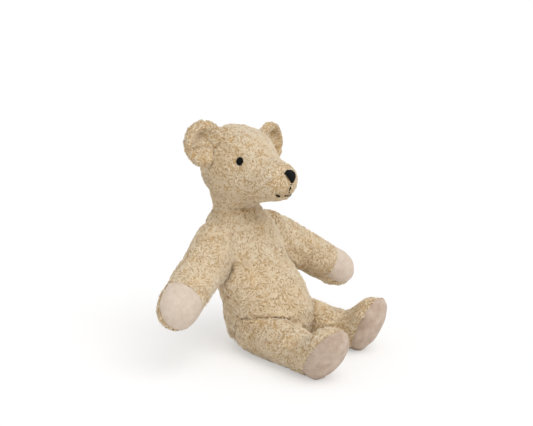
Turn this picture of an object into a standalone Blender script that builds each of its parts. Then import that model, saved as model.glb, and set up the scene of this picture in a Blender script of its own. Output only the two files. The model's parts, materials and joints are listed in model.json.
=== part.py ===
"""A jointed teddy bear, sitting: plush covers over stuffing, held by five moulded snap joints.

Metres, +Z up. The bear faces -Y, and its own left is +X. The origin is the middle of the flat
that the bear sits on. Each limb and the head hang on a pivot empty that lies on its joint's axis.
"""

import math
from collections import namedtuple

import bmesh
import bpy
from mathutils import Matrix, Vector
from mathutils.bvhtree import BVHTree

# Cloth and clearances
COVER = 0.0018  # plush cover, backing and flattened pile together
GAP = 0.0003  # between two pieces that touch
FILL_GAP = 0.0010  # between a cover and its stuffing
FLOOR_CUT = 0.0005  # depth of the flats that the bear's weight presses

# Torso: a pear that leans back
LEAN = math.radians(15)
SEAT_HEIGHT = 0.012
SEAT_HALF_WIDTH = 0.050
SEAT_HALF_DEPTH = 0.046
SEAT_FULLNESS = 2.2  # 2 is a round underside, and more is flatter
BELLY_HEIGHT = 0.050
BELLY_HALF_WIDTH = 0.053
BELLY_HALF_DEPTH = 0.052
BELLY_FORWARD = 0.0195  # belly's middle ahead of the line from the seat to the neck
CHEST_HEIGHT = 0.110
CHEST_HALF_WIDTH = 0.045
CHEST_HALF_DEPTH = 0.041
NECK_HEIGHT = 0.150
NECK_RADIUS = 0.028
NECK_STUB = 0.020  # how far the head's form runs past the neck's plane before the cut
NECK_DISC_EDGE = 0.0045  # stuffing left between the neck's disc and the cover

# Head: a round skull that tapers into a blunt muzzle
NECK_TILT = math.radians(5)
NECK_LENGTH = 0.004  # from the neck's plane to the skull's underside
NECK_FLARE = 0.029  # radius of the head's neck where it runs into the skull
HEAD_TURN = math.radians(3)  # to the bear's right
HEAD_ROLL = math.radians(5)  # cocked to the bear's left
SKULL_HALF_WIDTH = 0.044
SKULL_HALF_HEIGHT = 0.043
SKULL_BACK = 0.035
BROW_FORWARD = 0.030
BROW_HALF_WIDTH = 0.036
BROW_HALF_HEIGHT = 0.036
BROW_DROP = 0.005
MUZZLE_HALF_WIDTH = 0.0235
MUZZLE_HALF_HEIGHT = 0.0225
MUZZLE_DROP = 0.012
SNOUT_TIP = 0.084
SNOUT_ROUND = 0.020  # the muzzle's fullest ring, behind the tip

# Ears: cupped discs
EAR_RADIUS = 0.0255
EAR_THICKNESS = 0.010
EAR_CUP = 0.004
EAR_OUT = 0.0055  # ear's middle outside the skull's widest
EAR_UP = 0.022
EAR_FORWARD = 0.001
EAR_TURN = math.radians(14)  # outward from straight ahead

# Embroidered face
EYE_OUT = 0.0307
EYE_UP = 0.007
EYE_HALF_WIDTH = 0.0036
EYE_HALF_HEIGHT = 0.0043
EYE_STAND = 0.0022  # how far the satin stitch stands out
NOSE_UP = 0.0066  # nose's middle above the snout's
NOSE_HALF_WIDTH = 0.0068
NOSE_HALF_HEIGHT = 0.0066
NOSE_CORNER = 0.0029
NOSE_STAND = 0.0020
THREAD_RADIUS = 0.0007
LIP_DROP = 0.011  # from the nose's lower point to the middle of the mouth
SMILE_OUT = 0.0125
SMILE_SAG = 0.0035

# Arms: flattened sausages with a paw
SHOULDER_DROP = 0.0210  # joint's middle below the top of the torso's flat behind the arm
SHOULDER_TILT = math.radians(3)  # axis above level
SHOULDER_FLAT = 0.0225  # half of that flat, front to back
SHOULDER_PLAY = 0.0030  # round the arm's root as it turns
ARM_SPLAY_LEFT = math.radians(52.5)  # out from straight down
ARM_SPLAY_RIGHT = math.radians(59)
ARM_SWING_LEFT = math.radians(33)  # forward
ARM_SWING_RIGHT = math.radians(30)
ARM_LENGTH = 0.132  # joint to tip
ARM_ROOT_HALF_WIDTH = 0.0265
ARM_ROOT_HALF_DEPTH = 0.0250
ELBOW_REACH = 0.0594
ELBOW_HALF_WIDTH = 0.0245
ELBOW_HALF_DEPTH = 0.0230
PAW_HALF_WIDTH = 0.0230
PAW_HALF_DEPTH = 0.0210
PAW_ROUND = 0.024  # the paw's fullest ring, behind the tip
PAW_PAD_LENGTH = 0.040  # tip to the pad's straight seam
PAW_PAD_SET = 0.0015  # how far the pad's side seam lies in front of the arm's middle

# Legs: thick thighs that end in upturned feet
HIP_FORWARD = 0.010
HIP_STAGGER = 0.008  # the right hip's lead and the left hip's lag: the seat turns under the chest
HIP_SINK = 0.0345  # how far the thigh's flat lies inside the belly's widest
HIP_BED = 0.012  # thigh's middle out from the hip's plane
HIP_PLAY = 0.0032  # round the thigh in the hollow that the torso has for it
LEG_LIFT = math.radians(3)  # how far a leg swings up
LEG_DROP = math.radians(95)  # and down, to stand
LEG_SPLAY_LEFT = math.radians(12)
LEG_SPLAY_RIGHT = math.radians(8.5)
HIP_HALF_WIDTH = 0.0235
HIP_HALF_HEIGHT = 0.0210
HIP_FULLNESS = 3.2  # of the thigh's top: 2 is round, and more fills the hollow's corner
KNEE_REACH = 0.0416
KNEE_HALF_WIDTH = 0.0235
KNEE_HALF_HEIGHT = 0.0225
ANKLE_HALF_WIDTH = 0.0230
ANKLE_HALF_HEIGHT = 0.0235
FOOT_REACH = 0.107  # hip to the middle of the sole's widest ring
FOOT_HALF_WIDTH = 0.0240
FOOT_HALF_HEIGHT = 0.0345
FOOT_TILT_LEFT = math.radians(24)  # toes ahead of the heel
FOOT_TILT_RIGHT = math.radians(34)
INSTEP = 0.034  # ankle to foot
SOLE_BULGE = 0.013
SOLE_SEAM = 0.0045  # sole's seam behind the foot's widest ring

# Snap joints
STEM_RADIUS = 0.0034
STEM_RIB = 0.0005
STEM_RIBS = 4
STEM_PITCH = 0.0018
DISC_THICKNESS = 0.0026
DISC_EDGE = 0.0070  # stuffing left between a disc's edge and the cover
HUB_RADIUS = 0.0075
HUB_THICKNESS = 0.0012
LOCK_RADIUS = 0.0082
LOCK_THICKNESS = 0.0014
LOCK_DISH = 0.0010
RUNNING_GAP = 0.0003  # round the stem in the back disc
POCKET_GAP = 0.0005  # between a disc and the stuffing round it

# Facets
RING_SIDES = 18
LIMB_SIDES = 14
FILL_SIDES = 10
STEPS = 3  # rings from one station to the next
TURNED_SIDES = 16

UP = Vector((0, 0, 1))
FORWARD = Vector((0, -1, 0))
LEFT = Vector((1, 0, 0))

Station = namedtuple("Station", "reach rise half_width half_height tilt fullness", defaults=(0.0, 2.0))
Joint = namedtuple("Joint", "name limb centre axis disc pivot")


# Scene and materials


def clear_scene():
    for obj in list(bpy.data.objects):
        bpy.data.objects.remove(obj)


def material(name, colour, roughness):
    made = bpy.data.materials.new(name)
    made.use_nodes = True
    shader = made.node_tree.nodes["Principled BSDF"]
    shader.inputs["Base Color"].default_value = (*colour, 1.0)
    shader.inputs["Roughness"].default_value = roughness
    shader.inputs["Metallic"].default_value = 0.0
    return made


def empty(name, location, parent=None):
    made = bpy.data.objects.new(name, None)
    bpy.context.scene.collection.objects.link(made)
    made.parent = parent
    made.location = location - (parent.location if parent else Vector())
    return made


def piece(name, bm, surface, pivot):
    """Links the form as an object on its pivot, with its origin there."""
    where = pivot.location
    bmesh.ops.translate(bm, vec=-where, verts=bm.verts)
    bmesh.ops.recalc_face_normals(bm, faces=bm.faces)
    mesh = bpy.data.meshes.new(name)
    bm.to_mesh(mesh)
    bm.free()
    mesh.materials.append(surface)
    mesh.shade_smooth()
    mesh.set_sharp_from_angle(angle=math.radians(40))
    made = bpy.data.objects.new(name, mesh)
    bpy.context.scene.collection.objects.link(made)
    made.parent = pivot
    return made


# Forms


def cap(pole, station, steps, fullness):
    """Rings from a pole to the first full station, on a quarter of a superellipse."""
    samples = []
    for k in range(steps):
        angle = math.pi / 2 * k / steps
        out, along = math.sin(angle) ** (2 / fullness), 1 - math.cos(angle) ** (2 / fullness)
        samples.append(Station(
            pole.reach + (station.reach - pole.reach) * along, pole.rise + (station.rise - pole.rise) * along,
            station.half_width * out, station.half_height * out, station.tilt, station.fullness))
    return samples


def between(p, q, r, s, t):
    """A Catmull-Rom value from q to r."""
    square, cube = 2 * p - 5 * q + 4 * r - s, 3 * q - p - 3 * r + s
    return 0.5 * (2 * q + (r - p) * t + square * t ** 2 + cube * t ** 3)


def curve_through(stations, steps):
    """Catmull-Rom samples of the full stations, level at both ends to run smoothly into the caps."""
    first, last = stations[0], stations[-1]
    knots = [stations[1]._replace(reach=2 * first.reach - stations[1].reach), *stations]
    knots.append(stations[-2]._replace(reach=2 * last.reach - stations[-2].reach))
    samples = []
    for a, b, c, d in zip(knots, knots[1:], knots[2:], knots[3:]):
        for step in range(steps):
            t = step / steps
            samples.append(Station(*(between(p, q, r, s, t) for p, q, r, s in zip(a, b, c, d))))
    return samples + [last]


def ring_spokes(station, sides):
    """From a ring's middle to its corners: half of an ellipse, with half of a superellipse on top."""
    spokes = []
    for k in range(sides):
        angle = 2 * math.pi * k / sides
        across, up = math.cos(angle), math.sin(angle)
        if up > 0:
            across = math.copysign(abs(across) ** (2 / station.fullness), across)
            up = up ** (2 / station.fullness)
        spokes.append(Vector((station.half_width * across, station.half_height * up, 0)))
    return spokes


def lofted(stations, frame, sides, steps, start_fullness=2.0, end_fullness=2.0):
    """A closed form through elliptical rings, from pole to pole along the frame's Z."""
    bm = bmesh.new()
    samples = cap(stations[0], stations[1], steps, start_fullness) + curve_through(stations[1:-1], steps)
    samples += reversed(cap(stations[-1], stations[-2], steps, end_fullness))
    rings = []
    for i, s in enumerate(samples):
        middle = Vector((0, s.rise, s.reach))
        if i in (0, len(samples) - 1):
            rings.append([bm.verts.new(frame @ middle)])
            continue
        tilt = Matrix.Rotation(s.tilt, 3, "X")
        rings.append([bm.verts.new(frame @ (middle + tilt @ spoke)) for spoke in ring_spokes(s, sides)])
    for low, high in zip(rings, rings[1:]):
        for k in range(sides):
            n = (k + 1) % sides
            corners = [low[k % len(low)], low[n % len(low)], high[n % len(high)], high[k % len(high)]]
            bm.faces.new(list(dict.fromkeys(corners)))
    bmesh.ops.recalc_face_normals(bm, faces=bm.faces)
    return bm


def grown(bm, depth):
    """A copy with its surface moved out by depth, or in where depth is negative."""
    made = bm.copy()
    made.normal_update()
    moves = [v.normal * depth for v in made.verts]
    for v, move in zip(made.verts, moves):
        v.co += move
    return made


def cut_by_plane(bm, point, outward):
    """Takes off what lies beyond the plane, and closes the cut with one flat face."""
    geometry = bm.verts[:] + bm.edges[:] + bm.faces[:]
    bmesh.ops.bisect_plane(bm, geom=geometry, plane_co=point, plane_no=outward, clear_outer=True)
    rim = [e for e in bm.edges if e.is_boundary]
    if rim:
        bmesh.ops.edgeloop_fill(bm, edges=rim)
    bmesh.ops.recalc_face_normals(bm, faces=bm.faces)
    return bm


def turned(profile, frame, sides=TURNED_SIDES):
    """A solid turned about the frame's Z, from (radius, height) points, with flat ends in one face.

    A profile that stays clear of the axis leaves a hole.
    """
    bm = bmesh.new()
    points = [bm.verts.new((r, 0, z)) for r, z in profile]
    edges = [bm.edges.new(pair) for pair in zip(points, points[1:])]
    if min(r for r, _ in profile) > 0:
        edges.append(bm.edges.new((points[-1], points[0])))
    bmesh.ops.spin(bm, geom=points + edges, axis=(0, 0, 1), cent=(0, 0, 0),
                   angle=2 * math.pi, steps=sides, use_merge=True)
    bmesh.ops.remove_doubles(bm, verts=bm.verts, dist=1e-6)
    poles = [v for v in bm.verts if v.co.xy.length < 1e-6]
    flat = [v for v in poles if all(abs(e.other_vert(v).co.z - v.co.z) < 1e-6 for e in v.link_edges)]
    bmesh.ops.dissolve_verts(bm, verts=flat)
    bmesh.ops.recalc_face_normals(bm, faces=bm.faces)
    bmesh.ops.transform(bm, matrix=frame, verts=bm.verts)
    return bm


def boolean(bm, other, operation):
    """The form joined with, cut by or kept inside another. Both forms are used up."""
    objects = []
    for form in (bm, other):
        mesh = bpy.data.meshes.new("form")
        form.to_mesh(mesh)
        form.free()
        objects.append(bpy.data.objects.new("form", mesh))
        bpy.context.scene.collection.objects.link(objects[-1])
    target, tool = objects
    modifier = target.modifiers.new("boolean", "BOOLEAN")
    modifier.operation = operation
    modifier.object = tool
    graph = bpy.context.evaluated_depsgraph_get()
    mesh = bpy.data.meshes.new_from_object(target.evaluated_get(graph))
    made = bmesh.new()
    made.from_mesh(mesh)
    for obj in objects:
        used = obj.data
        bpy.data.objects.remove(obj)
        bpy.data.meshes.remove(used)
    bpy.data.meshes.remove(mesh)
    return made


def arc_angles(start, end, steps):
    return [start + (end - start) * k / steps for k in range(steps + 1)]


def prism(outline, frame, low, high):
    """An outline in the frame's X and Y, carried along its Z."""
    bm = bmesh.new()
    rings = [[bm.verts.new(frame @ Vector((x, y, z))) for x, y in outline] for z in (low, high)]
    for k in range(len(outline)):
        n = (k + 1) % len(outline)
        bm.faces.new((rings[0][k], rings[0][n], rings[1][n], rings[1][k]))
    bm.faces.new(rings[0])
    bm.faces.new(rings[1])
    bmesh.ops.recalc_face_normals(bm, faces=bm.faces)
    return bm


def slab(frame, half_x, half_y, low_z, high_z):
    """A box in the frame, for cutting."""
    bm = bmesh.new()
    bmesh.ops.create_cube(bm, size=1)
    size = Matrix.Diagonal((2 * half_x, 2 * half_y, high_z - low_z, 1))
    place = Matrix.Translation((0, 0, (low_z + high_z) / 2))
    bmesh.ops.transform(bm, matrix=frame @ place @ size, verts=bm.verts)
    return bm


def axes_frame(origin, along, height):
    """A frame whose Z runs along, and whose Y is as near to height as it can be."""
    z = along.normalized()
    x = height.cross(z).normalized()
    y = z.cross(x)
    return Matrix.Translation(origin) @ Matrix((x, y, z)).transposed().to_4x4()


def joint_frame(joint):
    """Z runs along the joint's axis from the torso to the limb, from the plane where the two covers meet."""
    height = UP if abs(joint.axis.z) < 0.9 else FORWARD
    return axes_frame(joint.centre, joint.axis, height)


# Snap joints: a disc with a ribbed stem in the limb, a back disc and a lock washer in the torso

LIMB_DISC_BASE = GAP / 2 + COVER + GAP
BACK_DISC_BASE = LIMB_DISC_BASE
LOCK_BASE = BACK_DISC_BASE + DISC_THICKNESS + GAP
STEM_END = LOCK_BASE + LOCK_THICKNESS + LOCK_DISH + STEM_PITCH * 2
HOLE_RADIUS = STEM_RADIUS + RUNNING_GAP


def stem_disc(joint):
    top = LIMB_DISC_BASE + DISC_THICKNESS
    profile = [(0, top + HUB_THICKNESS), (HUB_RADIUS, top + HUB_THICKNESS), (HUB_RADIUS + HUB_THICKNESS, top)]
    edge = HUB_THICKNESS / 2
    profile += [(joint.disc - edge, top), (joint.disc, top - edge), (joint.disc, LIMB_DISC_BASE)]
    profile += [(STEM_RADIUS, LIMB_DISC_BASE)]
    ribs_start = -STEM_END + STEM_RIBS * STEM_PITCH
    profile += [(STEM_RADIUS, ribs_start)]
    for rib in range(STEM_RIBS):
        low = ribs_start - (rib + 1) * STEM_PITCH
        profile += [(STEM_RADIUS - STEM_RIB, low + STEM_PITCH * 0.9), (STEM_RADIUS, low + STEM_PITCH * 0.4)]
    profile += [(STEM_RADIUS - STEM_RIB, -STEM_END), (0, -STEM_END)]
    return turned(profile, joint_frame(joint))


def back_disc(joint):
    near, far = -BACK_DISC_BASE, -BACK_DISC_BASE - DISC_THICKNESS
    edge = HUB_THICKNESS / 2
    profile = [(HOLE_RADIUS, near), (joint.disc, near), (joint.disc, far + edge)]
    profile += [(joint.disc - edge, far), (HOLE_RADIUS, far)]
    return turned(profile, joint_frame(joint))


def lock_washer(joint):
    near = -LOCK_BASE
    inner = STEM_RADIUS + RUNNING_GAP
    profile = [(inner, near - LOCK_DISH), (LOCK_RADIUS, near), (LOCK_RADIUS, near - LOCK_THICKNESS)]
    profile += [(inner, near - LOCK_DISH - LOCK_THICKNESS)]
    return turned(profile, joint_frame(joint))


def limb_pocket(joint):
    """What the stem disc takes out of the limb's stuffing."""
    radius, depth = joint.disc + POCKET_GAP, LIMB_DISC_BASE + DISC_THICKNESS + HUB_THICKNESS + POCKET_GAP
    return turned([(0, depth), (radius, depth), (radius, -COVER), (0, -COVER)], joint_frame(joint))


def torso_pocket(joint):
    """What the back disc, the lock washer and the stem's end take out of the torso's stuffing."""
    disc, lock = joint.disc + POCKET_GAP, LOCK_RADIUS + POCKET_GAP
    step, depth = -LOCK_BASE - POCKET_GAP, -STEM_END - POCKET_GAP
    profile = [(0, COVER), (disc, COVER), (disc, step), (lock, step), (lock, depth), (0, depth)]
    return turned(profile, joint_frame(joint))


def stem_hole(joint):
    """The hole that the stem makes through both covers."""
    reach = 2 * (GAP + COVER)
    return turned([(0, reach), (HOLE_RADIUS, reach), (HOLE_RADIUS, -reach), (0, -reach)], joint_frame(joint))


# Torso


def leaned(height):
    """How far back the torso's middle lies at a height."""
    return height * math.tan(LEAN)


def dome_height():
    """From the chest's widest ring to the top of a dome that is as wide as the neck at the neck's height."""
    return (NECK_HEIGHT - CHEST_HEIGHT) / math.sqrt(1 - (NECK_RADIUS / CHEST_HALF_WIDTH) ** 2)


def torso_form(sides, steps):
    """A pear with a domed top."""
    dome = dome_height()
    stations = [
        Station(-FLOOR_CUT, 0, 0, 0),
        Station(SEAT_HEIGHT, leaned(SEAT_HEIGHT) - BELLY_FORWARD / 2, SEAT_HALF_WIDTH, SEAT_HALF_DEPTH),
        Station(BELLY_HEIGHT, leaned(BELLY_HEIGHT) - BELLY_FORWARD, BELLY_HALF_WIDTH, BELLY_HALF_DEPTH),
        Station(CHEST_HEIGHT, leaned(CHEST_HEIGHT), CHEST_HALF_WIDTH, CHEST_HALF_DEPTH),
        Station(CHEST_HEIGHT + dome, leaned(CHEST_HEIGHT + dome), 0, 0)]
    return lofted(stations, Matrix.Identity(4), sides, steps, start_fullness=SEAT_FULLNESS)


def thigh_slope():
    """How steeply the thigh's top rises from the hip to the knee, if it does."""
    return max(0, math.atan2(2 * (KNEE_HALF_HEIGHT - HIP_HALF_HEIGHT), KNEE_REACH))


def hip_hollow(joint, depth):
    """The hollow in the torso's side that the thigh turns in, open to the front and below."""
    radius, reach = HIP_HALF_HEIGHT + HIP_PLAY + depth, 2 * BELLY_HALF_WIDTH
    lift = LEG_LIFT + thigh_slope()
    angles = arc_angles(lift, math.pi - LEG_DROP, 8)
    behind = [(-radius * math.sin(a), radius * math.cos(a)) for a in angles]
    top, low = behind[0], behind[-1]
    under = (low[0] + reach * math.cos(LEG_DROP), low[1] - reach * math.sin(LEG_DROP))
    above = (reach, top[1] + (reach - top[0]) * math.tan(lift))
    outline = behind + [under, (reach, under[1]), above]
    forward = -math.copysign(1, joint.axis.x)
    outline = [(forward * ahead, up) for ahead, up in outline]
    return prism(outline, axes_frame(joint.centre, joint.axis, UP), -GAP / 2 - depth, reach)


def shoulder_hollow(joint, depth):
    """A flat behind the arm's root with a cone round it, which the splayed arm sweeps as it turns."""
    lean = min(ARM_SPLAY_LEFT, ARM_SPLAY_RIGHT) - SHOULDER_TILT
    radius, reach = ARM_ROOT_HALF_WIDTH / math.sin(lean) + SHOULDER_PLAY, CHEST_HALF_WIDTH
    low = -GAP / 2 - depth
    profile = [(0, low), (radius, low), (radius + reach, low + reach), (0, low + reach)]
    return turned(profile, joint_frame(joint))


def torso_cut_to_joints(form, joints, depth):
    """Cuts the neck, the shoulders, the hips and the flat seat, each this far inside the cover."""
    cut_by_plane(form, Vector((0, 0, depth)), -UP)
    neck = joints["neck"]
    cut_by_plane(form, neck.centre - neck.axis * (GAP / 2 + depth), neck.axis)
    for side in ("left", "right"):
        shoulder, hip = joints[side + "_shoulder"], joints[side + "_hip"]
        form = boolean(form, shoulder_hollow(shoulder, depth), "DIFFERENCE")
        form = boolean(form, hip_hollow(hip, depth), "DIFFERENCE")
    return form


def build_torso(joints, pivot, plush, wadding, plastic):
    outer = torso_form(RING_SIDES, STEPS)
    inner = grown(outer, -COVER)
    cover = torso_cut_to_joints(outer, joints, 0.0)
    cover = boolean(cover, torso_cut_to_joints(inner, joints, COVER), "DIFFERENCE")
    fill_depth = COVER + FILL_GAP
    fill = torso_cut_to_joints(grown(torso_form(FILL_SIDES, STEPS), -fill_depth), joints, fill_depth)
    for joint in joints.values():
        cover = boolean(cover, stem_hole(joint), "DIFFERENCE")
        fill = boolean(fill, torso_pocket(joint), "DIFFERENCE")
        piece(joint.name + "_back_disc", back_disc(joint), plastic, pivot)
    piece("torso_cover", cover, plush, pivot)
    piece("torso_stuffing", fill, wadding, pivot)


# Limbs


def limb_cover(form, joint, depth):
    """The limb's form cut at its joint's plane and at the floor, this far inside the cover."""
    cut_by_plane(form, joint.centre + joint.axis * (GAP / 2 + depth), -joint.axis)
    return cut_by_plane(form, Vector((0, 0, depth)), -UP)


def limb_shell(form, joint):
    """The limb's sewn cover before its pad is let in."""
    inner = limb_cover(grown(form, -COVER), joint, COVER)
    shell = boolean(limb_cover(form, joint, 0.0), inner, "DIFFERENCE")
    return boolean(shell, stem_hole(joint), "DIFFERENCE")


def limb_stuffing(form, joint):
    fill = limb_cover(grown(form, -COVER - FILL_GAP), joint, COVER + FILL_GAP)
    return boolean(fill, limb_pocket(joint), "DIFFERENCE")


def build_limb(joint, form, coarse_form, pad_name, pad_cutter, surfaces):
    """A limb's cover with its pad let in, its stuffing and its half of the snap joint."""
    plush, velour, wadding, plastic = surfaces
    shell = limb_shell(form, joint)
    pad = boolean(shell.copy(), pad_cutter(GAP), "INTERSECT")
    cover = boolean(shell, pad_cutter(0.0), "DIFFERENCE")
    piece(joint.limb + "_cover", cover, plush, joint.pivot)
    piece(pad_name, pad, velour, joint.pivot)
    piece(joint.limb + "_stuffing", limb_stuffing(coarse_form, joint), wadding, joint.pivot)
    piece(joint.name + "_stem_disc", stem_disc(joint), plastic, joint.pivot)
    piece(joint.name + "_lock_washer", lock_washer(joint), plastic, joint.pivot)


def arm_frame(joint, side, splay, swing):
    """Z runs down the arm and Y points to its back."""
    hang = Vector((side * math.sin(splay), 0, -math.cos(splay)))
    turn = Matrix.Rotation(-side * swing, 3, joint.axis)
    return axes_frame(joint.centre, turn @ hang, turn @ -FORWARD)


def arm_form(frame, sides, steps):
    stations = [
        Station(-ARM_ROOT_HALF_WIDTH, 0, 0, 0),
        Station(0, 0, ARM_ROOT_HALF_WIDTH, ARM_ROOT_HALF_DEPTH),
        Station(ELBOW_REACH, 0, ELBOW_HALF_WIDTH, ELBOW_HALF_DEPTH),
        Station(ARM_LENGTH - PAW_ROUND, 0, PAW_HALF_WIDTH, PAW_HALF_DEPTH),
        Station(ARM_LENGTH, 0, 0, 0)]
    return lofted(stations, frame, sides, steps)


def build_arm(joint, side, splay, swing, surfaces):
    frame = arm_frame(joint, side, splay, swing)

    def pad_cutter(inset):
        """The box round the front of the paw, which the pad fills less the inset."""
        reach, front = ARM_LENGTH - PAW_PAD_LENGTH + inset, PAW_PAD_SET + inset
        wide = 2 * PAW_HALF_WIDTH
        ahead = Matrix.Translation((0, -front - wide, 0))
        return slab(frame @ ahead, wide, wide, reach, ARM_LENGTH + wide)

    pad_name = joint.limb.replace("arm", "paw_pad")
    fine = arm_form(frame, LIMB_SIDES, STEPS)
    build_limb(joint, fine, arm_form(frame, FILL_SIDES, STEPS), pad_name, pad_cutter, surfaces)


def leg_frame(joint, side, splay):
    """Z runs down the leg and Y points up. The leg lies outside the hip's plane, against it."""
    along = Vector((side * math.sin(splay), -math.cos(splay), 0))
    outward = Vector((side * math.cos(splay), math.sin(splay), 0))
    return axes_frame(joint.centre + outward * HIP_BED, along, UP)


def foot_rise(tilt):
    """The foot's middle above the leg's, for the heel to reach the floor."""
    return FOOT_HALF_HEIGHT * math.cos(tilt) - HIP_HALF_HEIGHT


def leg_form(frame, tilt, sides, steps):
    """Thigh to sole. Every ring's lowest point is on the line that the floor cuts flat."""
    knee_rise, ankle_rise = KNEE_HALF_HEIGHT - HIP_HALF_HEIGHT, ANKLE_HALF_HEIGHT - HIP_HALF_HEIGHT
    toe_rise = foot_rise(tilt) - SOLE_BULGE * math.tan(tilt)
    stations = [
        Station(-HIP_HALF_HEIGHT, 0, 0, 0),
        Station(0, 0, HIP_HALF_WIDTH, HIP_HALF_HEIGHT, 0, HIP_FULLNESS),
        Station(KNEE_REACH, knee_rise, KNEE_HALF_WIDTH, KNEE_HALF_HEIGHT),
        Station(FOOT_REACH - INSTEP, ankle_rise, ANKLE_HALF_WIDTH, ANKLE_HALF_HEIGHT, tilt / 2),
        Station(FOOT_REACH, foot_rise(tilt), FOOT_HALF_WIDTH, FOOT_HALF_HEIGHT, tilt),
        Station(FOOT_REACH + SOLE_BULGE, toe_rise, 0, 0, tilt)]
    return lofted(stations, frame, sides, steps)


def build_leg(joint, side, splay, tilt, surfaces):
    frame = leg_frame(joint, side, splay)
    seam = Matrix.Translation((0, foot_rise(tilt), FOOT_REACH)) @ Matrix.Rotation(tilt, 4, "X")

    def pad_cutter(inset):
        """The box ahead of the sole's seam."""
        wide = 2 * FOOT_HALF_HEIGHT
        return slab(frame @ seam, wide, wide, inset - SOLE_SEAM, wide)

    pad_name = joint.limb.replace("leg", "sole")
    fine = leg_form(frame, tilt, LIMB_SIDES, STEPS)
    build_limb(joint, fine, leg_form(frame, tilt, FILL_SIDES, STEPS), pad_name, pad_cutter, surfaces)


# Head


def head_frame(joint):
    """Z looks ahead and Y is up, from the skull's middle."""
    underside = max(SKULL_HALF_HEIGHT, BROW_DROP + BROW_HALF_HEIGHT)
    middle = joint.centre + UP * (NECK_LENGTH + underside)
    ahead = Matrix.Rotation(-HEAD_TURN, 3, UP) @ FORWARD
    cocked = Matrix.Rotation(-HEAD_ROLL, 3, ahead) @ UP
    return axes_frame(middle, ahead, cocked)


def skull_form(frame, sides, steps):
    stations = [
        Station(-SKULL_BACK, 0, 0, 0),
        Station(0, 0, SKULL_HALF_WIDTH, SKULL_HALF_HEIGHT),
        Station(BROW_FORWARD, -BROW_DROP, BROW_HALF_WIDTH, BROW_HALF_HEIGHT),
        Station(SNOUT_TIP - SNOUT_ROUND, -MUZZLE_DROP, MUZZLE_HALF_WIDTH, MUZZLE_HALF_HEIGHT),
        Station(SNOUT_TIP, -MUZZLE_DROP, 0, 0)]
    return lofted(stations, frame, sides, steps)


def neck_form(joint, sides, steps):
    stations = [
        Station(-NECK_STUB, 0, 0, 0),
        Station(0, 0, NECK_RADIUS, NECK_RADIUS),
        Station(NECK_LENGTH + SKULL_HALF_HEIGHT / 2, 0, NECK_FLARE, NECK_FLARE),
        Station(NECK_LENGTH + SKULL_HALF_HEIGHT + NECK_STUB, 0, 0, 0)]
    return lofted(stations, joint_frame(joint), sides, steps)


def head_form(joint, frame, sides, steps, depth):
    """Skull, muzzle and neck in one, this far inside the cover and cut at the neck's plane."""
    skull = grown(skull_form(frame, sides, steps), -depth)
    neck = grown(neck_form(joint, sides, steps), -depth)
    cut_by_plane(neck, joint.centre + joint.axis * (GAP / 2 + depth), -joint.axis)
    return boolean(skull, neck, "UNION")


def build_ear(name, side, frame, joint, plush):
    """A cupped disc, cut to the side of the head."""
    turn = Matrix.Rotation(side * EAR_TURN, 4, "Y")
    place = frame @ Matrix.Translation((side * (SKULL_HALF_WIDTH + EAR_OUT), EAR_UP, EAR_FORWARD)) @ turn
    half = EAR_THICKNESS / 2
    profile = [(0, half - EAR_CUP), (EAR_RADIUS * 0.45, half - EAR_CUP * 0.7), (EAR_RADIUS * 0.78, half)]
    profile += [(EAR_RADIUS * 0.95, half * 0.75), (EAR_RADIUS, 0), (EAR_RADIUS * 0.95, -half * 0.75)]
    profile += [(EAR_RADIUS * 0.7, -half * 1.1), (0, -half * 1.3)]
    ear = turned(profile, place, RING_SIDES)
    skull = grown(skull_form(frame, RING_SIDES, STEPS), GAP)
    piece(name, boolean(ear, skull, "DIFFERENCE"), plush, joint.pivot)


def rounded_triangle(half_width, half_height, radius):
    """The nose's outline, point down: three arcs joined by straight runs."""
    across, up = half_width - radius, half_height - radius
    corners = [(across, up, -30), (-across, up, 90), (0, -up, 210)]
    outline = []
    for x, y, start in corners:
        for step in range(5):
            angle = math.radians(start + step * 30)
            outline.append((x + radius * math.cos(angle), y + radius * math.sin(angle)))
    return outline


def on_head(tree, frame, across, up):
    """The head's surface at a place on its front, and the way that it faces there."""
    ahead = frame.to_3x3() @ Vector((0, 0, 1))
    start = frame @ Vector((across, up, 2 * SNOUT_TIP))
    point, normal, _, _ = tree.ray_cast(start, -ahead)
    return point, normal


def satin_stitch(bm, head, stand):
    """What of a prism lies between the head and a skin that stands out from it."""
    skin = boolean(bm, grown(head, stand), "INTERSECT")
    return boolean(skin, grown(head, GAP), "DIFFERENCE")


def build_nose(head, tree, frame, joint, thread):
    middle_up = NOSE_UP - MUZZLE_DROP
    point, _ = on_head(tree, frame, 0, middle_up)
    depth = (frame.inverted() @ point).z
    triangle = rounded_triangle(NOSE_HALF_WIDTH, NOSE_HALF_HEIGHT, NOSE_CORNER)
    outline = [(x, y + middle_up) for x, y in triangle]
    block = prism(outline, frame, depth - NOSE_HALF_WIDTH, depth + NOSE_HALF_WIDTH)
    piece("nose", satin_stitch(block, head, NOSE_STAND), thread, joint.pivot)


def build_eye(name, side, head, tree, frame, joint, thread):
    point, normal = on_head(tree, frame, side * EYE_OUT, EYE_UP)
    place = axes_frame(point, normal, frame.to_3x3() @ Vector((0, 1, 0)))
    bm = bmesh.new()
    bmesh.ops.create_uvsphere(bm, u_segments=14, v_segments=8, radius=1)
    size = Matrix.Diagonal((EYE_HALF_WIDTH, EYE_HALF_HEIGHT, EYE_STAND, 1))
    bmesh.ops.transform(bm, matrix=place @ size, verts=bm.verts)
    piece(name, boolean(bm, grown(head, GAP), "DIFFERENCE"), thread, joint.pivot)


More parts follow.
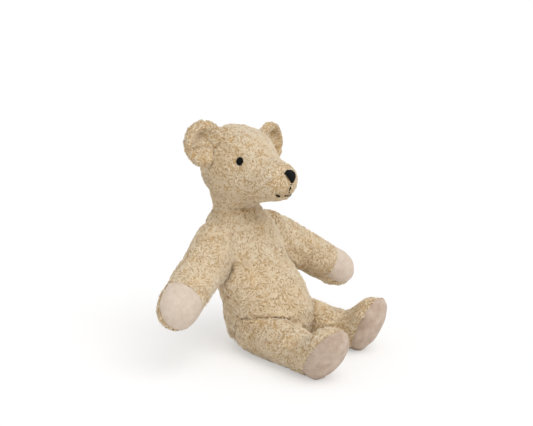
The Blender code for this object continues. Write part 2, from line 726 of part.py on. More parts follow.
def stitch(name, places, tree, frame, joint, thread):
    """A thread laid on the face through (across, up) places."""
    curve = bpy.data.curves.new(name, "CURVE")
    curve.dimensions = "3D"
    curve.bevel_depth = THREAD_RADIUS
    curve.bevel_resolution = 1
    curve.use_fill_caps = True
    curve.materials.append(thread)
    spline = curve.splines.new("POLY")
    spline.points.add(len(places) - 1)
    for spot, (across, up) in zip(spline.points, places):
        point, normal = on_head(tree, frame, across, up)
        spot.co = (*(point + normal * (THREAD_RADIUS + GAP) - joint.pivot.location), 1)
    made = bpy.data.objects.new(name, curve)
    bpy.context.scene.collection.objects.link(made)
    made.parent = joint.pivot
    return made


def build_mouth(tree, frame, joint, thread):
    """A short line down from the nose, and a smile to each side of its end."""
    nose_point = NOSE_UP - MUZZLE_DROP - NOSE_HALF_HEIGHT
    space = GAP + 2 * THREAD_RADIUS
    lip = nose_point - LIP_DROP
    down = [(0, nose_point - space - (LIP_DROP - 2 * space) * k / 4) for k in range(5)]
    stitch("lip_stitch", down, tree, frame, joint, thread)
    for side, name in ((1, "left_smile_stitch"), (-1, "right_smile_stitch")):
        places = []
        for k in range(9):
            t = k / 8
            across = THREAD_RADIUS + GAP + t * SMILE_OUT
            places.append((side * across, lip - SMILE_SAG * math.sin(math.pi * (0.15 + 0.75 * t))))
        stitch(name, places, tree, frame, joint, thread)


def build_head(joint, surfaces, thread):
    plush, _, wadding, plastic = surfaces
    frame = head_frame(joint)
    outer = head_form(joint, frame, RING_SIDES, STEPS, 0.0)
    shell = boolean(outer, head_form(joint, frame, RING_SIDES, STEPS, COVER), "DIFFERENCE")
    piece("head_cover", boolean(shell, stem_hole(joint), "DIFFERENCE"), plush, joint.pivot)
    fill = head_form(joint, frame, FILL_SIDES, STEPS, COVER + FILL_GAP)
    piece("head_stuffing", boolean(fill, limb_pocket(joint), "DIFFERENCE"), wadding, joint.pivot)
    piece(joint.name + "_stem_disc", stem_disc(joint), plastic, joint.pivot)
    piece(joint.name + "_lock_washer", lock_washer(joint), plastic, joint.pivot)
    face = skull_form(frame, RING_SIDES, STEPS)
    tree = BVHTree.FromBMesh(face)
    build_ear("left_ear", 1, frame, joint, plush)
    build_ear("right_ear", -1, frame, joint, plush)
    build_eye("left_eye", 1, face, tree, frame, joint, thread)
    build_eye("right_eye", -1, face, tree, frame, joint, thread)
    build_nose(face, tree, frame, joint, thread)
    build_mouth(tree, frame, joint, thread)


# Assembly


def shoulder_plane():
    """Half of the torso's width where the shoulder's flat is as long, front to back, as it should be."""
    return CHEST_HALF_WIDTH * math.sqrt(1 - (SHOULDER_FLAT / CHEST_HALF_DEPTH) ** 2)


def shoulder_height():
    flat_top = CHEST_HEIGHT + dome_height() * SHOULDER_FLAT / CHEST_HALF_DEPTH
    return flat_top - SHOULDER_DROP


def neck_flat():
    """Half of the shorter way across the torso's flat at the neck."""
    return NECK_RADIUS * min(1, CHEST_HALF_DEPTH / CHEST_HALF_WIDTH)


def hip_flat():
    """From the middle of the thigh's flat side down to its edge."""
    return HIP_HALF_HEIGHT * math.sqrt(1 - (HIP_BED / HIP_HALF_WIDTH) ** 2)


def make_joints(root):
    """The neck, the shoulders and the hips. Each axis points from the torso to the limb."""
    def joint(name, limb, centre, axis, flat, edge=DISC_EDGE):
        pivot = empty(name + "_pivot", centre, root)
        return Joint(name, limb, centre, axis.normalized(), flat - COVER - edge, pivot)

    neck = Vector((0, leaned(NECK_HEIGHT), NECK_HEIGHT))
    neck_axis = Vector((0, math.sin(NECK_TILT), math.cos(NECK_TILT)))
    joints = {"neck": joint("neck", "head", neck, neck_axis, neck_flat(), NECK_DISC_EDGE)}
    hip_height = HIP_HALF_HEIGHT - FLOOR_CUT
    hip_out = BELLY_HALF_WIDTH - HIP_SINK
    for side, name in ((1, "left"), (-1, "right")):
        shoulder = Vector((side * shoulder_plane(), leaned(shoulder_height()), shoulder_height()))
        out = Vector((side * math.cos(SHOULDER_TILT), 0, math.sin(SHOULDER_TILT)))
        joints[name + "_shoulder"] = joint(name + "_shoulder", name + "_arm", shoulder, out, SHOULDER_FLAT)
        hip = Vector((side * hip_out, side * HIP_STAGGER - HIP_FORWARD, hip_height))
        joints[name + "_hip"] = joint(name + "_hip", name + "_leg", hip, LEFT * side, hip_flat())
    return joints


def main():
    clear_scene()
    plush = material("plush", (0.66, 0.53, 0.36), 0.95)
    velour = material("velour", (0.74, 0.62, 0.53), 0.9)
    wadding = material("wadding", (0.88, 0.86, 0.80), 1.0)
    plastic = material("plastic", (0.85, 0.85, 0.83), 0.4)
    thread = material("thread", (0.012, 0.012, 0.013), 0.6)
    surfaces = (plush, velour, wadding, plastic)
    root = empty("bear", Vector())
    joints = make_joints(root)
    build_torso(joints, root, plush, wadding, plastic)
    build_head(joints["neck"], surfaces, thread)
    build_arm(joints["left_shoulder"], 1, ARM_SPLAY_LEFT, ARM_SWING_LEFT, surfaces)
    build_arm(joints["right_shoulder"], -1, ARM_SPLAY_RIGHT, ARM_SWING_RIGHT, surfaces)
    build_leg(joints["left_hip"], 1, LEG_SPLAY_LEFT, FOOT_TILT_LEFT, surfaces)
    build_leg(joints["right_hip"], -1, LEG_SPLAY_RIGHT, FOOT_TILT_RIGHT, surfaces)


main()
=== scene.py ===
"""The jointed bear's looks: curled plush, velour pads, an embroidered face and a white studio.

Each soft piece starts from the outside of its CAD solids. It is pressed in, creased and lumped, and a pile
of small curled locks is laid over it. Metres, in the frame's axes: the bear faces -Y and its left is +X.
"""
import itertools
import json
import math
from collections import namedtuple

import bmesh
import bpy
import numpy as np
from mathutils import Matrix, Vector
from mathutils.bvhtree import BVHTree
from mathutils.kdtree import KDTree

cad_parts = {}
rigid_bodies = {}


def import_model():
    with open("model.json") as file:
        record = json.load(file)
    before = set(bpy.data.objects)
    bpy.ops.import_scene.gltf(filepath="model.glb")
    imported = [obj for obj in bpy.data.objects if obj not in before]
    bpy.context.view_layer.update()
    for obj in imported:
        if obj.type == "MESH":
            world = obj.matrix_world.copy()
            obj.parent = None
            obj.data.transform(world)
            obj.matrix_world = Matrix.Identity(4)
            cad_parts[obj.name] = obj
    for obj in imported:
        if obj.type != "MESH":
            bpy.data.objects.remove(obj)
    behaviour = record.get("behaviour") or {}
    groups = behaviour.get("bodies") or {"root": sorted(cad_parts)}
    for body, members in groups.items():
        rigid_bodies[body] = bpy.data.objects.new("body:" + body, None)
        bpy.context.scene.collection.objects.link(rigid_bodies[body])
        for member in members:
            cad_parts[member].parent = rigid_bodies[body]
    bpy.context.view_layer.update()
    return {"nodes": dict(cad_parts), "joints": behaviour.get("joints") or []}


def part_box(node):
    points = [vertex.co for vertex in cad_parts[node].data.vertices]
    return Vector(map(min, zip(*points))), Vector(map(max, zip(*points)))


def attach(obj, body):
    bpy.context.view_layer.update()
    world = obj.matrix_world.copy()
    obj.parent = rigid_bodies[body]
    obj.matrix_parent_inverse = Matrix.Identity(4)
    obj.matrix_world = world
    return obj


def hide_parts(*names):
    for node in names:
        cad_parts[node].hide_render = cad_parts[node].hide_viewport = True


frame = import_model()

SIDES, LIMBS = ("left", "right"), ("arm", "leg")
UP = np.array((0.0, 0.0, 1.0))
WELD = 1e-6  # points nearer than this are one
LOWEST_CLOTH, LOWEST_BACK, LOWEST_PILE = 0.0002, 0.0006, 0.0001  # heights of skins, pads' backs and pile
SEAT = (0.0005, 0.0040)  # heights over which a skin that rests on the floor comes free

# Skins. A nap's press is how far the backing lies below the CAD cover, its scale is the size of the locks,
# and its points are those of the skin for each parting.
Nap = namedtuple("Nap", "press scale points")
PRESS = 0.0016
NAPS = {
    "torso": Nap(PRESS, 1.0, 800), "head": Nap(0.0009, 0.85, 1200), "ear": Nap(0.0010, 0.7, 1600),
    "arm": Nap(PRESS, 0.92, 800), "leg": Nap(PRESS, 0.92, 800)}
LUMPS = ((0.0013, 0.024), (0.0008, 0.010))  # heights and wavelengths
FOLD_POINTS, FOLD_DEPTH, FOLD_WIDTH = 5000, 0.0013, 0.0022  # coarse wrinkles
GROOVE_DEPTH, GROOVE_WIDTH = 0.0010, 0.0012  # of the backing along a parting
PARTING_STEP, PARTING_WIDTH = 0.0018, 0.0009  # along the parting, and across the painted shade of it
EAR_RADIUS, EAR_FRONT = 0.0255, 0.003  # of the bowl, and how far it is in front of the ear's middle

# Joints. Pairs are the values between which a smooth step rises. Room is how far it is to the next body.
STEM_HOLE, STEM_REACH = 0.0043, 0.006  # radius, and how far along the axis its wall is looked for
STEM_WELL, WELL_DEPTH = 0.0098, 0.0125  # radius and depth
OFF_FACES, OFF_LIPS = (0.0010, 0.0018), (0.007, 0.013)  # room past a joint's own faces, and past its lips
LEAN_ROOM = (0.004, 0.010)  # room over which the pile leans across the joint less and less
SOFT_ROOM, PRESS_ROOM = (0.002, 0.008), (0.0005, 0.010)  # room over which wrinkles start, and pressing in
MEET = 0.0048  # room up to which the covers close on each other
HIP_TOP = (0.080, 0.100)  # heights over which the covers stop closing the way hips do
HIP_REACH, HIP_OVERLAP, CREASE = 1.4, 0.04, 0.0006  # further closing of the hips, and the gap left elsewhere

# Pile
LOCKS, SPIKES = 2.6e5, 5.5e5  # on a square metre
LOCK_LENGTH, LOCK_RISE, LOCK_WIDTH = 0.0056, 0.0010, 0.0015
SPIKE_LENGTH, SPIKE_RISE, SPIKE_WIDTH = 0.0020, 0.0010, 0.0021
LOCK_CURL = 0.38  # sideways turn of a lock's tip, as a share of its length
LOCK_ROUND = 0.38  # how far a lock's sides turn from the skin's own facing
SLIMMING = 0.6  # power of a tuft's size that its width goes by
HANG, STRAY, PARTED = 0.25, 0.22, 1.4  # how far tufts hang, stray and lean away from a parting
LEAST_FACING = 0.25  # cosine between the shading of a lock's corner and its face
PARTING_PAINTED_SHADE = 0.55  # how much nearer its root's colour a lock is in a parting: painted shade down the parting

# Pads
PAD_THICKNESS, PAD_BED = 0.0014, 0.0022
PAD_LEVEL = PRESS - 0.0004  # above the backing, so a little below the CAD pad
PAD_TUCK, PAD_RIM = 0.0012, 0.0022  # depth and width of the tuck along the seam
PAD_SHIFT = {"right_paw_pad": 0.0040}  # side seam behind the CAD pad's
LEAST_FLAT = 4e-4  # area of a seam's plane
ON_SEAM = 2e-6


def unit(vectors):
    return vectors / np.maximum(np.linalg.norm(vectors, axis=-1, keepdims=True), 1e-12)


def ramp(low, high, values):
    """0 below low, 1 above high and smooth between."""
    share = np.clip((values - low) / (high - low), 0, 1)
    return share * share * (3 - 2 * share)


def bell(off, width):
    """1 at 0, and falling away over about a width on both sides."""
    return np.exp(-(off / width) ** 2)


def lattice_value(lattice):
    """A fixed value from -1 to 1 for each point of a whole-number lattice."""
    mixed = lattice @ np.array((73856093, 19349663, 83492791))
    mixed = (mixed ^ (mixed >> 13)) * 1274126177
    mixed ^= mixed >> 16
    return (mixed & 0xFFFF) / 32767.5 - 1


def noise(points, wavelength, seed):
    """Smooth noise from -1 to 1 with features of about a wavelength."""
    cell = points / wavelength + 17.31 * seed
    low = np.floor(cell).astype(np.int64)
    share = cell - low
    share = share * share * (3 - 2 * share)
    total = np.zeros(len(points))
    for corner in itertools.product((0, 1), repeat=3):
        weight = np.prod(np.where(corner, share, 1 - share), axis=1)
        total += weight * lattice_value(low + corner)
    return total


def rows(collection, field):
    flat = np.empty(len(collection) * 3, np.float32)
    collection.foreach_get(field, flat)
    return flat.reshape(-1, 3).astype(float)


def places(mesh):
    return rows(mesh.vertices, "co")


def normals(mesh):
    return rows(mesh.vertex_normals, "vector")


def moved(mesh, points):
    mesh.vertices.foreach_set("co", points.astype(np.float32).ravel())
    mesh.update()


def tree_of(points):
    tree = KDTree(len(points))
    for index, point in enumerate(points):
        tree.insert(point, index)
    tree.balance()
    return tree


def tree_of_skin(mesh):
    points, faces = [tuple(p) for p in places(mesh)], [tuple(f.vertices) for f in mesh.polygons]
    return BVHTree.FromPolygons(points, faces)


def distances(points, tree):
    return np.array([tree.find(point)[2] for point in points])


def node_points(node):
    return places(frame["nodes"][node].data)


def middle(node):
    low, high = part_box(node)
    return (np.array(low) + np.array(high)) / 2


def joints_at(body):
    return [joint for joint in frame["joints"] if body in (joint["parent"], joint["child"])]


def placed(name, data):
    """A new object in the scene."""
    made = bpy.data.objects.new(name, data)
    bpy.context.scene.collection.objects.link(made)
    return made


def piece(name, mesh, body, material, *nodes):
    """A new piece that rides on a body and stands for some CAD nodes."""
    made = placed(name, mesh)
    mesh.materials.clear()
    mesh.materials.append(material)
    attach(made, body)
    if nodes:
        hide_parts(*nodes)
    return made


# Materials


class Shader:
    """A Principled material and short ways to add nodes to it."""

    def __init__(self, name, **constants):
        self.material = bpy.data.materials.new(name)
        self.material.use_nodes = True
        self.tree = self.material.node_tree
        self.surface = self.tree.nodes["Principled BSDF"]
        for socket, value in constants.items():
            self.surface.inputs[socket.replace("_", " ")].default_value = value

    def node(self, kind, **settings):
        made = self.tree.nodes.new("ShaderNode" + kind)
        for name, value in settings.items():
            setattr(made, name, value)
        return made

    def link(self, start, end):
        self.tree.links.new(start, end)

    def spots(self):
        return self.node("TexCoord").outputs["Object"]

    def noise(self, wavelength, detail=2.0, roughness=0.5):
        made = self.node("TexNoise")
        made.inputs["Scale"].default_value = 1 / wavelength
        made.inputs["Detail"].default_value = detail
        made.inputs["Roughness"].default_value = roughness
        self.link(self.spots(), made.inputs["Vector"])
        return made.outputs["Fac"]

    def attribute(self, name):
        return self.node("Attribute", attribute_name=name).outputs["Fac"]

    def colours(self, source, stops):
        """Colours along a source's values: pairs of a value and a colour."""
        made = self.node("ValToRGB")
        elements = made.color_ramp.elements
        while len(elements) < len(stops):
            elements.new(0.5)
        for element, (value, colour) in zip(elements, stops):
            element.position = value
            element.color = (*colour, 1)
        self.link(source, made.inputs["Fac"])
        return made.outputs["Color"]

    def mixed(self, share, first, second, blend="MIX"):
        """Blends two colour outputs by a share, which is a number or an output."""
        made = self.node("Mix", data_type="RGBA", blend_type=blend)
        if isinstance(share, float):
            made.inputs[0].default_value = share
        else:
            self.link(share, made.inputs[0])
        self.link(first, made.inputs[6])
        self.link(second, made.inputs[7])
        return made.outputs[2]

    def bump(self, height, strength, distance, under=None):
        made = self.node("Bump")
        made.inputs["Strength"].default_value = strength
        made.inputs["Distance"].default_value = distance
        self.link(height, made.inputs["Height"])
        if under is not None:
            self.link(under, made.inputs["Normal"])
        return made.outputs["Normal"]

    def ranged(self, source, low, high):
        made = self.node("MapRange")
        made.inputs["To Min"].default_value = low
        made.inputs["To Max"].default_value = high
        self.link(source, made.inputs["Value"])
        return made.outputs["Result"]

    def finish(self, colour, normal=None, roughness=None):
        self.link(colour, self.surface.inputs["Base Color"])
        if normal is not None:
            self.link(normal, self.surface.inputs["Normal"])
        if roughness is not None:
            self.link(roughness, self.surface.inputs["Roughness"])
        return self.material


WHITE = (1.0, 1.0, 1.0)
STOPS = (0.0, 0.2, 0.4, 0.7, 1.0)  # plush colours from a lock's root to its tip, darker at the root as painted shade deep in the pile
PALE = list(zip(STOPS, (
    (0.36, 0.20, 0.07), (0.57, 0.38, 0.18), (0.76, 0.58, 0.36), (0.86, 0.735, 0.55), (0.91, 0.81, 0.645))))
# WARM serves random warm clumps and also the painted shade low on the bear and in and beside the ears
WARM = list(zip(STOPS, (
    (0.30, 0.16, 0.05), (0.47, 0.29, 0.12), (0.63, 0.44, 0.23), (0.76, 0.58, 0.36), (0.82, 0.66, 0.44))))


def cloth_shader(name, roughness, sheen, sheen_roughness):
    return Shader(name, Roughness=roughness, Specular_IOR_Level=0.2,
                  Sheen_Weight=sheen, Sheen_Roughness=sheen_roughness)


def plush_material():
    shader = cloth_shader("curled_plush", roughness=0.95, sheen=0.22, sheen_roughness=0.5)
    # A lock's height sets its colour: darker towards the root as painted shade deep in the pile
    height = shader.attribute("pile_height_painted_shade")
    pale = shader.colours(height, PALE)
    warm = shader.colours(height, WARM)
    # pile_tone mixes pale and warm: random clumps plus painted shade and painted highlight
    tone = shader.mixed(shader.attribute("pile_tone"), pale, warm)
    patches = shader.colours(shader.noise(0.020, 3.0), [(0.35, (0.95, 0.93, 0.89)), (0.65, WHITE)])
    colour = shader.mixed(1.0, tone, patches, "MULTIPLY")
    fibres = shader.bump(shader.noise(0.0006, 3.0, 0.6), strength=0.35, distance=0.0003)
    return shader.finish(colour, fibres)


def velour_material(name, low, high, spread):
    """Short-pile cloth between two colours, in patches of about spread."""
    shader = cloth_shader(name, roughness=0.88, sheen=0.15, sheen_roughness=0.4)
    cloth = shader.colours(shader.noise(spread, 4.0, 0.6), [(0.32, low), (0.68, high)])
    nap = shader.colours(shader.noise(0.0009, 3.0, 0.65), [(0.3, (0.93, 0.92, 0.90)), (0.7, WHITE)])
    colour = shader.mixed(1.0, cloth, nap, "MULTIPLY")
    rough = shader.bump(shader.noise(0.0008, 3.0, 0.6), strength=0.3, distance=0.0002)
    normal = shader.bump(shader.noise(0.006, 2.0), strength=0.10, distance=0.0006, under=rough)
    return shader.finish(colour, normal)


def hard_material(shader, wavelength, dark, light, grain, strength, gloss, low, high):
    """A colour between two shades, a grain, and a roughness from low to high in patches of about gloss."""
    colour = shader.colours(shader.noise(wavelength, 3.0), [(0.3, dark), (0.7, light)])
    normal = shader.bump(shader.noise(grain, 2.0), strength, distance=0.0001)
    return shader.finish(colour, normal, shader.ranged(shader.noise(gloss), low, high))


PLUSH = plush_material()
PAW_VELOUR = velour_material("paw_velour", (0.66, 0.54, 0.44), (0.74, 0.625, 0.52), 0.006)
# The soles' velour is darker than the paws': painted shade, as they face down and away
SOLE_VELOUR_PAINTED_SHADE = velour_material("sole_velour_painted_shade", (0.48, 0.355, 0.27), (0.67, 0.54, 0.44), 0.012)
THREAD = hard_material(
    Shader("black_thread", Specular_IOR_Level=0.12), 0.0012, (0.002, 0.002, 0.002), (0.006, 0.006, 0.006),
    grain=0.0003, strength=0.3, gloss=0.0015, low=0.50, high=0.75)
PLASTIC = hard_material(
    Shader("moulded_plastic"), 0.006, (0.80, 0.80, 0.77), (0.86, 0.86, 0.84),
    grain=0.0004, strength=0.15, gloss=0.003, low=0.38, high=0.52)


# Skins: the closed outsides of the covers, before anything is sewn or combed


def close_stem_hole(solid, joint):
    """Takes out the wall of the hole that a joint's stem goes through, and closes it on both sides."""
    place, axis = Vector(joint["pos_m"]), Vector(joint["axis"]).normalized()

    def in_wall(vert):
        off = vert.co - place
        along = off.dot(axis)
        return abs(along) < STEM_REACH and (off - axis * along).length < STEM_HOLE

    near = {vert for vert in solid.verts if in_wall(vert)}
    wall = [face for face in solid.faces if near.issuperset(face.verts)]
    bmesh.ops.delete(solid, geom=wall, context="FACES_ONLY")
    rims = [edge for edge in solid.edges if edge.is_boundary]
    bmesh.ops.holes_fill(solid, edges=rims, sides=0)


def skin_of(nodes, body, voxel, rounds=14):
    """The outside of some nodes together, remeshed and evened out."""
    solid = bmesh.new()
    for node in nodes:
        solid.from_mesh(frame["nodes"][node].data)
    bmesh.ops.remove_doubles(solid, verts=solid.verts, dist=WELD)
    for joint in joints_at(body):
        close_stem_hole(solid, joint)
    rough = bpy.data.meshes.new("rough")
    solid.to_mesh(rough)
    solid.free()
    shell = placed("rough", rough)
    remesh = shell.modifiers.new("remesh", "REMESH")
    remesh.mode, remesh.voxel_size = "VOXEL", voxel
    smooth = shell.modifiers.new("smooth", "SMOOTH")
    smooth.factor, smooth.iterations = 0.5, rounds
    shaped = shell.evaluated_get(bpy.context.evaluated_depsgraph_get())
    mesh = bpy.data.meshes.new_from_object(shaped)
    bpy.data.objects.remove(shell)
    bpy.data.meshes.remove(rough)
    return mesh


def limb_nodes(side, limb):
    pad = f"{side}_paw_pad" if limb == "arm" else f"{side}_sole"
    return [f"{side}_{limb}_cover", pad]


skins = {
    "torso": skin_of(["torso_cover"], "torso", voxel=0.0015),
    "head": skin_of(["head_cover"], "head", voxel=0.0013)}
for side in SIDES:
    skins[f"{side}_ear"] = skin_of([f"{side}_ear"], f"{side}_ear", voxel=0.0010, rounds=6)
    for limb in LIMBS:
        skins[f"{side}_{limb}"] = skin_of(limb_nodes(side, limb), f"{side}_{limb}", voxel=0.0012)


def body_of(skin):
    return "head" if skin.endswith("ear") else skin


def nap_of(skin):
    return NAPS[skin.split("_")[-1]]


def seam_planes(node, cover, shift):
    """The planes of a pad's seams: a point and a direction towards the pad.

    They are the large flats of its hull. shift sets back the one at its side, which runs along the limb.
    """
    hull = bmesh.new()
    for point in node_points(node):
        hull.verts.new(point)
    bmesh.ops.remove_doubles(hull, verts=hull.verts, dist=WELD)
    bmesh.ops.convex_hull(hull, input=hull.verts)
    flats = {}
    for face in hull.faces:
        key = tuple(round(part, 2) for part in face.normal)
        flats.setdefault(key, []).append(face)
    planes = []
    for faces in flats.values():
        if sum(face.calc_area() for face in faces) > LEAST_FLAT:
            planes.append((np.array(faces[0].verts[0].co), -np.array(faces[0].normal)))
    hull.free()
    along = unit(middle(node) - middle(cover))
    return [(place - shift * (abs(normal @ along) < 0.5) * normal, normal) for place, normal in planes]


def in_front(points, planes):
    """How far in front of all of some planes each point is."""
    return np.min([(points - place) @ normal for place, normal in planes], axis=0)


seams = {}
for side, limb in itertools.product(SIDES, LIMBS):
    cover, pad_node = limb_nodes(side, limb)
    seams[f"{side}_{limb}"] = seam_planes(pad_node, cover, PAD_SHIFT.get(pad_node, 0.0))


# Sculpting


def dent(points, route, depth, width):
    """How deep a crease along a route presses each point."""
    route = np.asarray(route, float)
    off = np.min(np.linalg.norm(points[:, None, :] - route[None, :, :], axis=2), axis=1)
    return depth * bell(off, width)


def between(points, steps=8):
    """A smooth route through some points."""
    points = np.asarray(points, float)
    ends = np.vstack((2 * points[0] - points[1], points, 2 * points[-1] - points[-2]))
    route = []
    for before, start, end, after in zip(ends, ends[1:], ends[2:], ends[3:]):
        for share in np.arange(steps) / steps:
            bend = 2 * before - 5 * start + 4 * end - after
            twist = 3 * (start - end) + after - before
            route.append(start + 0.5 * share * (end - before + share * (bend + share * twist)))
    return np.array(route + [points[-1]])


def partings(points, facing, count, axis, rng):
    """Points along short random lines on a skin. The longer the axis, the more of them lie across it."""
    tree, lines = tree_of(points), []
    for start in rng.choice(len(points), count, replace=False):
        place, normal = points[start], facing[start]
        heading = unit(np.cross(normal, rng.normal(size=3) + axis))
        for _ in range(int(rng.integers(4, 14))):
            heading = unit(heading + 0.35 * rng.normal(size=3))
            heading = unit(heading - normal * (heading @ normal))
            near = tree.find(place + PARTING_STEP * heading)[1]
            lines += [place, (2 * place + points[near]) / 3, (place + 2 * points[near]) / 3]
            place, normal = points[near], facing[near]
    return np.array(lines)


def room_beside(name):
    """How far each point of a skin is from the other bodies' skins, and the way there."""
    others = [places(mesh) for other, mesh in skins.items() if body_of(other) != body_of(name)]
    points, tree = places(skins[name]), tree_of(np.vstack(others))
    found = [tree.find(point) for point in points]
    return np.array([hit[2] for hit in found]), unit(np.array([hit[0] for hit in found]) - points)


def round_off(mesh, share, rounds, pace=0.6):
    """Evens out a mesh where share is above 0."""
    ends = np.empty(len(mesh.edges) * 2, np.int32)
    mesh.edges.foreach_get("vertices", ends)
    ends, points = ends.reshape(-1, 2), places(mesh)
    uses = np.maximum(np.bincount(ends.ravel(), minlength=len(points)), 1)
    for _ in range(rounds):
        total = np.zeros_like(points)
        np.add.at(total, ends[:, 0], points[ends[:, 1]])
        np.add.at(total, ends[:, 1], points[ends[:, 0]])
        points += pace * share[:, None] * (total / uses[:, None] - points)
    moved(mesh, points)


def beside_joint(room):
    """1 where a skin curves into a joint, and 0 on the joint's own faces and far from it."""
    return ramp(*OFF_FACES, room) * (1 - ramp(*OFF_LIPS, room))


# The rims of the soles, then the skins beside the joints
for name in (f"{side}_leg" for side in SIDES):
    round_off(skins[name], bell(in_front(places(skins[name]), seams[name]), width=0.005), rounds=14)

lips = {name: beside_joint(room_beside(name)[0]) for name in skins}
for name in skins:
    round_off(skins[name], lips[name], rounds=24)

rooms, ways = {}, {}
for name in skins:
    rooms[name], ways[name] = room_beside(name)

neck = next(joint for joint in frame["joints"] if joint["name"] == "neck_turn")
head_axis = unit(np.array(neck["axis"]))
lateral = unit(middle("left_eye") - middle("right_eye"))
head_up = unit(head_axis - lateral * (head_axis @ lateral))
ahead = np.cross(lateral, head_up)


def route_of(node, along, count):
    """The middle line of a thin node, in the order of a direction."""
    points = node_points(node)
    ordered = points[np.argsort(points @ along)]
    return np.array([group.mean(axis=0) for group in np.array_split(ordered, count)])


lip = route_of("lip_stitch", -head_up, 4)
outer_ways = {"left": lateral, "right": -lateral}
smiles = {side: route_of(f"{side}_smile_stitch", outer_ways[side], 6) for side in SIDES}


def ear_frame(side):
    """Middle, outward, upward and forward directions of an ear."""
    points = node_points(f"{side}_ear")
    centre = middle(f"{side}_ear")
    spread = np.linalg.eigh(np.cov((points - centre).T))[1]
    front = spread[:, 0] if spread[:, 0] @ ahead > 0 else -spread[:, 0]
    upward = unit(head_up - front * (head_up @ front))
    outward = np.cross(upward, front)
    if outward @ outer_ways[side] < 0:
        outward = -outward
    return centre, outward, upward, front


ear_frames = {side: ear_frame(side) for side in SIDES}


def in_ear(side, out, up):
    """A place in the front of an ear, by shares of its radius."""
    centre, outward, upward, front = ear_frames[side]
    return centre + EAR_RADIUS * (out * outward + up * upward) + EAR_FRONT * front


FOLD_END = (0.10, 0.37)  # the deepest place of an ear's fold, and the middle of its painted shade


def thickness(mesh):
    """How far it is from each point of a skin straight through to its other side."""
    tree = tree_of_skin(mesh)
    found = [tree.ray_cast(v.co - 0.0002 * v.normal, -v.normal)[3] for v in mesh.vertices]
    return np.array([0.1 if far is None else far for far in found])  # no limit where nothing is hit


def sculpt_ear(side, points, depth):
    """A full rim round a pulled-in bowl, with a crease across it and a fold that runs into the bowl."""
    centre, outward, upward, front = ear_frames[side]
    off = points - centre
    facing = ramp(-0.002, 0.002, off @ front)
    reach = np.hypot(off @ outward, off @ upward) / EAR_RADIUS

    def route(*shares):
        return between([in_ear(side, out, up) for out, up in shares])

    crease = route((0.90, -0.25), (0.45, -0.20), (0.05, -0.15), (-0.45, -0.20))
    fold = route((0.30, 0.46), (0.10, 0.38), (-0.12, 0.22), (-0.35, 0.0))
    depth -= facing * 0.0022 * bell(reach - 0.72, 0.20)
    depth += facing * dent(points, [in_ear(side, 0.05, 0.20)], depth=0.0040, width=0.0085)
    depth += facing * dent(points, crease, depth=0.0026, width=0.0018)
    depth += facing * dent(points, fold, depth=0.0024, width=0.0018)
    depth += facing * dent(points, [in_ear(side, *FOLD_END)], depth=0.0022, width=0.0030)
    through = thickness(skins[f"{side}_ear"])
    depth[:] = np.minimum(depth, through * (0.12 + 0.56 * facing))  # so that no dent comes out behind
    return np.vstack((crease, fold))


def sculpt_head(points, depth):
    """Dents under the stitches, and fuller upper corners."""
    for side in SIDES:
        depth += dent(points, [middle(f"{side}_eye")], depth=0.0010, width=0.0060)
        depth += dent(points, between(smiles[side]), depth=0.0018, width=0.0020)
        depth += dent(points, smiles[side][-1:], depth=0.0016, width=0.0040)
    depth += dent(points, between(lip), depth=0.0010, width=0.0018)
    off = points - middle("head_cover")
    across, upward = np.abs(off @ lateral) / 0.044, off @ head_up / 0.043
    corner = np.exp(-((across - 0.55) / 0.30) ** 2 - ((upward - 0.85) / 0.35) ** 2)
    depth -= 0.0040 * corner * ramp(-0.03, 0.0, -(off @ ahead))


def ring_route(centre, axis, radius, rise, waves, wave, phase):
    """A wavy ring round an axis."""
    first = unit(np.cross(axis, (0.3, 0.9, 0.1)))
    second = np.cross(axis, first)
    turn = np.linspace(0, 2 * math.pi, 97)[:, None]
    lift = rise + wave * np.sin(waves * turn + phase)
    return centre + radius * (np.cos(turn) * first + np.sin(turn) * second) + lift * axis


def sculpt_torso(points, depth):
    """Gathers under the neck, a closing seam down the back, and a rounder corner above the seat."""
    place = np.array(neck["pos_m"])
    rings = [
        ring_route(place, head_axis, radius, rise, waves, wave=0.0022, phase=phase)
        for radius, rise, waves, phase in ((0.040, -0.007, 5, 0.3), (0.046, -0.015, 4, 1.7))]
    for ring in rings:
        depth += dent(points, ring, depth=0.0024, width=0.0021)
    seam_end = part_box("torso_cover")[0][2] + 0.02
    near = bell(points[:, 0], 0.0016) * ramp(0.01, 0.03, points[:, 1])
    depth += 0.0012 * near * ramp(seam_end, seam_end + 0.01, points[:, 2])
    depth += 0.0030 * (1 - ramp(0.004, 0.026, points[:, 2])) * ramp(0.004, 0.012, rooms["torso"])
    return np.vstack(rings)


def limb_axis(name):
    """The way a skin runs: up, or from its joint to its end.

    Its length is how strongly the skin's lines keep across it.
    """
    if name == "torso":
        return 3.0 * UP
    if not name.endswith(LIMBS):
        return 0.5 * UP
    return 1.5 * unit(middle(f"{name}_cover") - np.array(joints_at(name)[0]["pos_m"]))


def sculpt_leg(name, points, facing, depth):
    """A bend across the top of the ankle, and a fuller top of the foot."""
    hip, sole = np.array(joints_at(name)[0]["pos_m"]), middle(name.replace("leg", "sole"))
    along = unit((sole - hip) * (1, 1, 0))
    share = (points - hip) @ along / ((sole - hip) @ along)
    top = ramp(0.1, 0.7, facing[:, 2])
    depth += top * (0.0042 * bell(share - 0.74, 0.10) - 0.0030 * bell(share - 0.98, 0.10))


def meeting(name):
    """How far each point moves towards the next body, so that the soft parts close on each other at rest."""
    room = rooms[name]
    hip = 1 - ramp(*HIP_TOP, places(skins[name])[:, 2])
    reach = MEET * (1 + HIP_REACH * hip)
    share = ramp(0.0009, 0.0016, room) * (1 - ramp(reach, 2.2 * reach, room))
    return ways[name] * ((0.50 + HIP_OVERLAP * hip) * (room - CREASE * (1 - hip)) * share)[:, None]


rng = np.random.default_rng(11)
parting = {}  # the lines where each skin's pile parts


